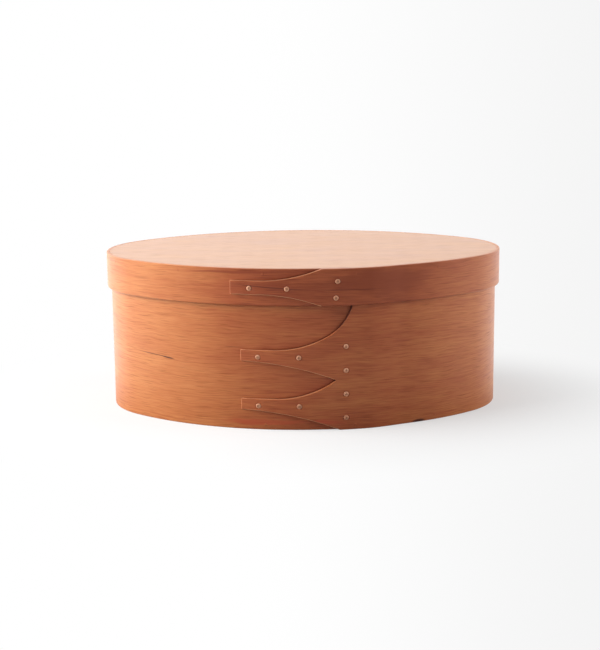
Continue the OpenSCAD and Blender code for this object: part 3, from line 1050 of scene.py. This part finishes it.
def eased_edge(skin, flat, ways_in, rings, tone):
    """Walks round the border once for each ring, and gives each ring's points and its flat places."""
    loops, flats = [], []
    for k, (inset, level, from_outside) in enumerate(rings):
        moved = flat + ways_in * inset[:, None]
        depth = skin.strip.thickness(moved[:, 0]) - level if from_outside else level
        on_face = k in (0, len(rings) - 1)
        # The crest of the eased edge gets a painted highlight, paler than the cut below it
        crest = np.maximum(tone, CREST_TONE * (tone < 0)) if k == len(rings) - 2 else tone
        loops.append(skin.add_points(moved[:, 0], moved[:, 1], depth, crest * (0 if on_face else 1)))
        flats.append(moved)
    skin.faces += bridged(loops)
    return loops, flats


print("a skin carries", list(Skin(box_strip).attributes))

# %% Dents, and the points that fill a lap
FILL_STEP = 2.2 * MM
FILL_ROOM = 0.45 * FILL_STEP
RING_ROOM = 0.1 * MM
RING_POINTS = 28
RING_SHARES = (0.5, 0.98, 1.06, 1.14, 1.22, 1.3, 1.5)
HEAD_CLEAR_SHARE = 1.7
DENT_SHARES = (0.98, 1.3)


def dent_depth(strip, run, z):
    """How far the wood is pressed in by the tack heads."""
    pressed = np.zeros(len(run))
    for dent_run, dent_z, head_r, sunk in strip.dents:
        away = np.hypot(run - dent_run, z - dent_z)
        wall = [head_r * share for share in DENT_SHARES]
        pressed = np.maximum(pressed, sunk * smooth_fall(away, *wall))
    return pressed


def fill_points(strip, border, outside):
    """Points inside the lap: an even grid, and rings round each tack head."""
    grid = even_grid(border.min(0), border.max(0), FILL_STEP)
    rings = []
    for dent_run, dent_z, head_r, _ in strip.dents if outside else ():
        grid = [p for p in grid if math.dist(p, (dent_run, dent_z)) > head_r * HEAD_CLEAR_SHARE]
        for share in RING_SHARES:
            turns = np.linspace(0, 2 * math.pi, RING_POINTS, endpoint=False) + share
            r = share * head_r
            rings += [np.array((dent_run + r * math.cos(a), dent_z + r * math.sin(a))) for a in turns]
    return clear_of(grid, border, FILL_ROOM) + clear_of(rings, border, RING_ROOM)


print("each lap is filled with points", FILL_STEP / MM, "mm apart")


# %% The two big faces of a strip
def plain_grid(skin, ring, ring_flat, outside, runs, rows, lap_size):
    """Columns from the join to the inner end. Gives the points of the join's own column."""
    columns = []
    for j, run in enumerate(runs):
        low_at = (len(ring) - j) % len(ring)
        high_at = lap_size - 1 + j
        if j == len(runs) - 1:
            columns.append(ring[high_at : low_at + 1])
            continue
        z = np.linspace(ring_flat[high_at][1], ring_flat[low_at][1], rows + 1)[1:-1]
        r = np.full(len(z), run)
        depth = skin.strip.thickness(r) if outside else np.zeros(len(z))
        columns.append([ring[high_at], *skin.add_points(r, z, depth), ring[low_at]])
    for here, there in zip(columns, columns[1:]):
        for i in range(rows):
            skin.faces.append((here[i], here[i + 1], there[i + 1], there[i]))
    return columns[0][1:-1]


def lap_face(skin, ring, ring_flat, outside, join, join_run):
    """Triangles from the join to the finger tips, with the dents where the face is the outer one."""
    join_flat = [(join_run, skin.height_of(corner)) for corner in join]
    border = np.array([*ring_flat, *join_flat])
    inside = fill_points(skin.strip, border, outside)
    r, z = np.array(inside).T
    depth = skin.strip.thickness(r) - dent_depth(skin.strip, r, z) if outside else np.zeros(len(r))
    names = [*ring, *join, *skin.add_points(r, z, depth)]
    skin.faces += [tuple(names[corner] for corner in face) for face in filled(border, inside)]


def strip_mesh(strip, lower_ease):
    """The whole strip as one closed mesh, with its grain, edge and seam attributes."""
    lap_size, runs, rows, flat = strip_border(strip)
    ways_in = inward(flat)
    skin = Skin(strip)
    rings = quarter_rounds(*eased_by(strip, flat, lower_ease))
    loops, flats = eased_edge(skin, flat, ways_in, rings, edge_tones(strip, flat, ways_in))
    for k, outside in ((0, False), (-1, True)):
        join = plain_grid(skin, loops[k], flats[k], outside, runs, rows, lap_size)
        lap_face(skin, loops[k][:lap_size], flats[k][:lap_size], outside, join, float(runs[0]))
    return skin.points, skin.faces, skin.attributes


print("the plain part of a strip has a column every", RUN_STEP / MM, "mm")


# %% Turn points and faces into a piece
def linked(name, data):
    """An object that shows a mesh, a camera or a lamp, in the scene."""
    made = bpy.data.objects.new(name, data)
    bpy.context.scene.collection.objects.link(made)
    return made


def make_piece(name, points, faces, wood, body, node, attributes):
    """A smooth mesh with its attributes, that rides on a body and stands for a node."""
    mesh = bpy.data.meshes.new(name)
    mesh.from_pydata([tuple(p) for p in points], [], faces)
    mesh.validate()
    mesh.update()
    for title, rows in attributes.items():
        rows = np.array(rows, dtype=np.float32)
        kind, field = ("FLOAT_VECTOR", "vector") if rows.ndim == 2 else ("FLOAT", "value")
        mesh.attributes.new(title, kind, "POINT").data.foreach_set(field, rows.ravel())
    face_the_outside(mesh)
    mesh.shade_smooth()
    mesh.materials.append(wood)
    piece = linked(name, mesh)
    piece.modifiers.new("even_shading", "WEIGHTED_NORMAL")
    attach(piece, body)
    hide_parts(node)


def face_the_outside(mesh):
    """Turns every face of a closed mesh outwards."""
    shape = bmesh.new()
    shape.from_mesh(mesh)
    bmesh.ops.recalc_face_normals(shape, faces=shape.faces)
    shape.to_mesh(mesh)
    loose = sum(not side.is_manifold for side in shape.edges)
    print(mesh.name, "has", len(shape.faces), "faces and", loose, "open sides")
    shape.free()


print("pieces to make:", sum(len(nodes) for nodes in bodies.values()))

# %% Bend both strips
BOX_LOWER_EASE = 0.5 * MM
LID_LOWER_EASE = 1.1 * MM
points, faces, attributes = strip_mesh(box_strip, BOX_LOWER_EASE)
make_piece("box_strip", points, faces, box_wood, "box", "box_band", attributes)
points, faces, attributes = strip_mesh(lid_strip, LID_LOWER_EASE)
make_piece("lid_strip", points, faces, lid_wood, "lid", "lid_band", attributes)

# %% [markdown]
# ## The two boards
#
# Each board is sawn to the inside of its band and pressed in, flush with the rim. The lid's board
# follows the step where the lid's strip climbs over the box's lap. A thin board that has dried is very
# slightly hollow across its face, which is enough to keep its sheen from looking like glass.

# %% Build a board
BOARD_FIT = 0.05 * MM
BOARD_EASE = 0.15 * MM
BOARD_STEP = 2.0 * MM
BOARD_FILL = 6.0 * MM
BOARD_ROOM = 0.4 * BOARD_FILL
HOLLOW = 0.10 * MM
SINK = 0.03 * MM
QUARTER = np.radians([0, 30, 60, 90])


def board_mesh(room, low_z, high_z, grain_from):
    """A board that fills a room, given as the distance out from the form for every direction."""
    runs = np.linspace(0, WHOLE_RUN, round(WHOLE_RUN / BOARD_STEP), endpoint=False)
    turns = turn_at(runs)
    flat = wall_points(turns, room(turns) - BOARD_FIT, 0)[:, :2]
    ways_in = inward(flat)
    rings = [(BOARD_EASE * (1 - math.sin(a)), low_z + BOARD_EASE * (1 - math.cos(a))) for a in QUARTER]
    rings += [(inset, low_z + high_z - SINK - z) for inset, z in reversed(rings)]
    points, loops = [], []
    for inset, z in rings:
        loops.append(list(range(len(points), len(points) + len(flat))))
        points += [(x, y, z) for x, y in flat + ways_in * inset]
    faces = bridged(loops)

    reach = flat.max(0)
    grid = even_grid(-reach, reach, BOARD_FILL)
    for loop, inset, z, sign in ((loops[0], *rings[0], 1), (loops[-1], *rings[-1], -1)):
        border = flat + ways_in * inset
        inside = clear_of(grid, border, BOARD_ROOM)
        names = loop + list(range(len(points), len(points) + len(inside)))
        for x, y in inside:
            hollow = HOLLOW * max(0, 1 - (x / reach[0]) ** 2 - (y / reach[1]) ** 2)
            points.append((x, y, z + sign * hollow))
        faces += [tuple(names[corner] for corner in face) for face in filled(border, inside)]
    return points, faces, {"grain": np.array(points) + np.array(grain_from)}


def lid_room(turn):
    """Inner face of the lid's strip, with its step over the box's lap."""
    turn = np.where(turn < FRONT - math.pi, turn + 2 * math.pi, turn)
    return lid_well + STRIP_T * np.minimum(smooth_fall(turn, *lid_strip.fall), lid_strip.feathered(turn))


# The base board is cut from another stretch of the plank than the lid's
BASE_GRAIN_FROM = (0.4, 0.3, 0)
top_low, top_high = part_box("lid_top")
points, faces, grain = board_mesh(lid_room, top_low.z, top_high.z, (0, 0, 0))
make_piece("lid_board", points, faces, board_wood, "lid", "lid_top", grain)
base_low, base_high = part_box("box_bottom")
points, faces, grain = board_mesh(np.zeros_like, base_low.z, base_high.z, BASE_GRAIN_FROM)
make_piece("base_board", points, faces, board_wood, "box", "box_bottom", grain)

# %% [markdown]
# ## Tacks and pegs
#
# A copper tack is driven through both layers of the strip against an iron, which bends its point over
# inside. The hammer leaves the head a little out of round, with a soft rim and a small flat. The pegs
# are split wood, not turned, so they are faintly faceted. Their ends are cut flush and stand out only
# by the end grain, which drinks more oil.

# %% Shapes of a tack
HEAD_PROFILE = (
    # share of the head's radius, height above the seat in millimetres, stain
    (0.93, 0.00, 1.0),
    (1.00, 0.08, 1.0),
    (1.00, 0.24, 0.7),
    (0.965, 0.34, 0.3),
    (0.88, 0.43, 0.0),
    (0.72, 0.51, 0.0),
    (0.56, 0.57, 0.0),
    (0.44, 0.585, 0.3),
    (0.34, 0.55, 0.8),
    (0.22, 0.49, 0.7),
    (0.09, 0.47, 0.6),
)
HEAD_MIDDLE = 0.465 * MM
MIDDLE_STAIN = 0.6
HEAD_ROOM = 0.02 * MM
HEAD_TILT = 0.02 * MM
TILT_FROM = 0.3
HEAD_ROUND, HEAD_OVAL, HEAD_LUMPS = 0.972, 0.018, 0.010
LUMPS_AROUND = 5
BEND_PROFILE = (
    # half length to the left, half height, shift to the left, distance out from the foot, in millimetres
    (0.34, 0.22, 0.52, -0.13),
    (0.62, 0.42, 0.44, -0.10),
    (0.80, 0.54, 0.34, -0.02),
    (0.74, 0.56, 0.20, 0.14),
    (0.60, 0.60, 0.00, 0.34),
)
BEND_POLE = (0.54 * MM, -0.135 * MM)
BEND_STAIN = 0.5
SHANK_R = 0.6 * MM
TURN_OF_NEXT = 1.7
PIN_STEPS = 36
around = np.linspace(0, 2 * math.pi, PIN_STEPS, endpoint=False)
print("a tack has", (len(BEND_PROFILE) + 1 + len(HEAD_PROFILE)) * PIN_STEPS + 2, "points")


# %% Build the tacks
def tube_faces(ring_count):
    """Faces between rings of points, closed by a fan at each end round one more point."""
    rings = [range(k * PIN_STEPS, (k + 1) * PIN_STEPS) for k in range(ring_count)]
    faces = bridged(rings)
    first_pole = ring_count * PIN_STEPS
    for i in range(PIN_STEPS):
        j = (i + 1) % PIN_STEPS
        faces.append((first_pole, rings[0][j], rings[0][i]))
        faces.append((first_pole + 1, rings[-1][i], rings[-1][j]))
    return faces


def tack_mesh(tack, number):
    """From the bent-over point inside to the middle of the head."""
    seat = seat_of(tack)
    phase = number * TURN_OF_NEXT
    cos, sin = np.cos(around), np.sin(around)
    uneven = HEAD_ROUND + HEAD_OVAL * np.sin(2 * around + phase)
    uneven = uneven + HEAD_LUMPS * np.sin(LUMPS_AROUND * around + 2 * phase)
    rings = [
        tack.place(shift * MM + left_r * MM * cos, up_r * MM * sin, tack.foot + rise * MM)
        for left_r, up_r, shift, rise in BEND_PROFILE
    ]
    rings.append(tack.place(SHANK_R * cos, SHANK_R * sin, seat))
    for share, height, _ in HEAD_PROFILE:
        r = tack.radius * share * uneven
        tilt = HEAD_TILT * share * np.cos(around - phase) * (height > TILT_FROM)
        out = np.minimum(seat + height * MM + tilt, tack.top - HEAD_ROOM)
        rings.append(tack.place(r * cos, r * sin, out))
    shift, rise = BEND_POLE
    poles = [tack.place(shift, 0.0, tack.foot + rise), tack.place(0.0, 0.0, seat + HEAD_MIDDLE)]
    stain = [BEND_STAIN] * (len(BEND_PROFILE) + 1) + [level for *_, level in HEAD_PROFILE]
    stain = [*np.repeat(stain, PIN_STEPS), BEND_STAIN, MIDDLE_STAIN]
    return np.concatenate([*rings, poles]), tube_faces(len(rings)), {"stain": stain}


for body, pins in tacks.items():
    for number, tack in enumerate(pins):
        points, faces, stain = tack_mesh(tack, number)
        name = "shown_" + tack.node
        make_piece(name, points, faces, tack_copper, body, tack.node, stain)

# %% Build the pegs
PEG_PROUD = 0.03 * MM
FACETS = 7
FACET_DEPTH = 0.045
# share of the peg's radius, and the place outwards from its foot or from its end
PEG_FOOT = ((0.55, 0.0), (0.75, 0.5 * MM), (0.95, 2.5 * MM))
PEG_END = ((1.00, -1.0 * MM), (1.00, -0.03 * MM), (0.96, 0.6 * PEG_PROUD), (0.60, PEG_PROUD))


def peg_mesh(peg, number):
    """A split peg, from its tapered foot to its cut end."""
    facet = 1 - FACET_DEPTH * (1 - np.cos(FACETS * (around + number))) / 2
    profile = [(share, peg.foot + rise) for share, rise in PEG_FOOT]
    profile += [(share, peg.top + rise) for share, rise in PEG_END]
    points, grain = [], []
    run = float(run_at(peg.turn if peg.turn < FRONT else peg.turn - 2 * math.pi))
    for share, out in profile:
        left = peg.radius * share * facet * np.cos(around)
        up = peg.radius * share * facet * np.sin(around)
        points.append(peg.place(left, up, out))
        grain += [(run + x, peg.z + z, out) for x, z in zip(left, up)]
    for out in (peg.foot, peg.top + PEG_PROUD):
        points.append(peg.place(0.0, 0.0, out)[None, :])
        grain.append((run, peg.z, out))
    return np.concatenate(points), tube_faces(len(profile)), {"grain": grain}


for body, pins in pegs.items():
    for number, peg in enumerate(pins):
        points, faces, grain = peg_mesh(peg, number)
        name = "shown_" + peg.node
        make_piece(name, points, faces, peg_wood[body], body, peg.node, grain)

# %% [markdown]
# ## The camera
#
# It stands a little above the box and looks slightly down on it, as a person at a table does.

# %% Set up the camera
CAMERA_PLACE = (2.9 * MM, -881.5 * MM, 225.3 * MM)
CAMERA_PITCH = 11.517
CAMERA_ROLL = -0.612
CAMERA_YAW = 0.338
CAMERA_LENS = 80.46
camera_data = bpy.data.cameras.new("camera")
camera_data.lens = CAMERA_LENS
camera = linked("camera", camera_data)
camera.matrix_world = (
    Matrix.Translation(CAMERA_PLACE)
    @ Matrix.Rotation(math.radians(CAMERA_YAW), 4, "Z")
    @ Matrix.Rotation(math.radians(90 - CAMERA_PITCH), 4, "X")
    @ Matrix.Rotation(math.radians(CAMERA_ROLL), 4, "Z")
)
bpy.context.scene.camera = camera
bpy.context.scene.view_settings.view_transform = "Standard"
print("the camera looks down by", CAMERA_PITCH, "degrees from", round(-CAMERA_PLACE[1] / MM), "mm away")

# %% [markdown]
# ## Floor and light
#
# The box stands on a white sweep that rises behind it. In an oval round the box the paper is shaded as
# real paper is, so the box's shadow stays, and in what it throws back onto the box and shows in the
# sheen of the wood it is darker, a painted shade. Further off the camera sees plain white. Near the box
# and further off, the paper is a little greyer to the right, a painted shade. A shiny surface sees
# bright paper behind the box and the dark room in front. One large soft lamp on the left lights the wall
# from the side, and a weaker one on the right fills what it leaves.
# Neither lamp shows in the sheen of the wood.

# %% The sweep of paper
FLOOR_HALF = 3.0
BACK_Y = 2.2
SWEEP_R = 0.8
SWEEP_HEIGHT = 3.0
SWEEP_STEPS = 12
profile = [(-FLOOR_HALF, 0.0), (BACK_Y - SWEEP_R, 0.0)]
for step in range(1, SWEEP_STEPS + 1):
    a = math.pi / 2 * step / SWEEP_STEPS
    profile.append((BACK_Y - SWEEP_R + SWEEP_R * math.sin(a), SWEEP_R - SWEEP_R * math.cos(a)))
profile.append((BACK_Y, SWEEP_HEIGHT))
sweep_points = [(x, y, z) for x in (-FLOOR_HALF, FLOOR_HALF) for y, z in profile]
size = len(profile)
sweep_faces = [(i, i + 1, size + i + 1, size + i) for i in range(size - 1)]
sweep_mesh = bpy.data.meshes.new("sweep")
sweep_mesh.from_pydata(sweep_points, [], sweep_faces)
sweep_mesh.shade_smooth()
sweep = linked("sweep", sweep_mesh)
print("the sweep has", len(sweep_faces), "faces")

# %% What a shiny surface sees
FRONT_MIRROR = 0.10
BACK_MIRROR = 2.4
RIGHT_MIRROR_FALL = 0.83
BACK_RISE = (-0.88, 0.25)
RIGHT_RISE = (-0.9, 0.25)


def mirror(recipe, way):
    """Bright paper behind, less bright to the right, and the dark room in front."""
    right = recipe.add("ShaderNodeSeparateXYZ", inputs={0: recipe.vector("NORMALIZE", way)})
    behind = recipe.step(right.sister(1), *BACK_RISE)
    return FRONT_MIRROR + behind * (BACK_MIRROR - recipe.step(right, *RIGHT_RISE) * RIGHT_MIRROR_FALL)


print("a sheen sees from", FRONT_MIRROR, "to", BACK_MIRROR + FRONT_MIRROR, "times white")

# %% The paper
WHITE = (1, 1, 1, 1)
FLOOR_WHITE = 0.70
# Near the box the paper throws back less light and shows darker in a sheen, a painted shade
NEAR_WHITE = 0.38
NEAR_MIRROR = 0.45
FLOOR_LIFT = 0.58
# The near paper is lifted less to the right, a painted shade
NEAR_FALL = 0.11
NEAR_ASIDE = (-0.12, 0.12)
FAR_FALL = 0.092
FAR_ASIDE = (-0.05, 0.25)
# Aside is a distance to the right as a share of the depth, seen from this far in front
CAMERA_AWAY = 0.88
# The painted grey to the right fades out towards the camera and at the far right
GREY_FROM_Y = (-0.80, -0.55)
GREY_FROM_X = (1.6, 0.8)
OVAL = (0.75, 1, 1)
OVAL_RISE = (0.075, 0.18)


def glow(recipe, strength):
    """Light given off by a surface."""
    return recipe.add("ShaderNodeEmission", inputs={"Color": WHITE, "Strength": strength})


def matt(recipe, level):
    """Plain matt paper."""
    return recipe.add("ShaderNodeBsdfDiffuse", inputs={"Color": (level, level, level, 1)})


def either(recipe, share, a, b):
    """A Mix Shader node: a where the share is 0, b where it is 1."""
    return recipe.add("ShaderNodeMixShader", inputs={0: share, 1: a, 2: b})


def white_paper(name):
    """Paper that keeps the shadow near the box, is plain white further off, and has painted shade."""
    paper = Recipe(name)
    spot = paper.add("ShaderNodeTexCoord", output="Object")
    by_camera = paper.add("ShaderNodeLightPath", output="Is Camera Ray")
    right = paper.add("ShaderNodeSeparateXYZ", inputs={0: spot})
    back = right.sister(1)
    aside = right / (back + CAMERA_AWAY)
    grey_share = paper.step(back, *GREY_FROM_Y) * paper.step(right, *GREY_FROM_X)
    oval = paper.vector("LENGTH", paper.vector("MULTIPLY", spot, OVAL), output="Value")
    far = paper.step(oval, *OVAL_RISE)

    # Towards the right the paper is painted a little greyer, near the box and further off, a painted
    # shade
    lift = FLOOR_LIFT - paper.step(aside, *NEAR_ASIDE) * NEAR_FALL
    # Near the box the paper throws back less light, a painted shade
    lit = either(paper, far * (1 - by_camera), matt(paper, NEAR_WHITE), matt(paper, FLOOR_WHITE))
    near = paper.add("ShaderNodeAddShader", inputs={0: lit, 1: glow(paper, by_camera * lift)})
    plain = glow(paper, 1 - paper.step(aside, *FAR_ASIDE) * grey_share * FAR_FALL)
    seen = either(paper, far * by_camera, near, plain)
    # Near the box the paper shows darker in a sheen, a painted shade
    sheen = mirror(paper, spot) * (NEAR_MIRROR + far * (1 - NEAR_MIRROR))
    return paper.finish(either(paper, by_camera.sister("Is Glossy Ray"), seen, glow(paper, sheen)))


sweep_mesh.materials.append(white_paper("white_paper"))
print("floor:", sweep_mesh.materials[0].name)

# %% Lamps
LAMP_AIM = Vector((0, 0, 0.05))
LAMPS = (
    # name, place and size in metres, power in watts
    ("left_lamp", (-1.38, -0.25, 0.74), 1.3, 45.5),
    ("right_lamp", (1.6, -0.1, 0.5), 1.0, 17),
)
for name, place, size, power in LAMPS:
    data = bpy.data.lights.new(name, "AREA")
    data.size = size
    data.energy = power
    way = LAMP_AIM - Vector(place)
    lamp = linked(name, data)
    lamp.matrix_world = Matrix.Translation(place) @ way.to_track_quat("-Z", "Y").to_matrix().to_4x4()
    lamp.visible_glossy = False
    print(name, "gives", power, "watts from", round(way.length, 2), "m away")

# %% The room
SKY = 0.22
world = bpy.data.worlds.new("white_studio")
bpy.context.scene.world = world
world.use_nodes = True
sky = Recipe("white_studio", world.node_tree)
by_camera = sky.add("ShaderNodeLightPath", output="Is Camera Ray")
by_gloss = by_camera.sister("Is Glossy Ray")
plain = SKY + by_camera * (1 - SKY)
mirrored = mirror(sky, sky.add("ShaderNodeTexCoord", output="Generated"))
level = plain * (1 - by_gloss) + by_gloss * mirrored
light = sky.add("ShaderNodeBackground", inputs={"Color": WHITE, "Strength": level})
sky.add("ShaderNodeOutputWorld", inputs={"Surface": light})
print("the room gives", SKY, "of white to a matt surface")
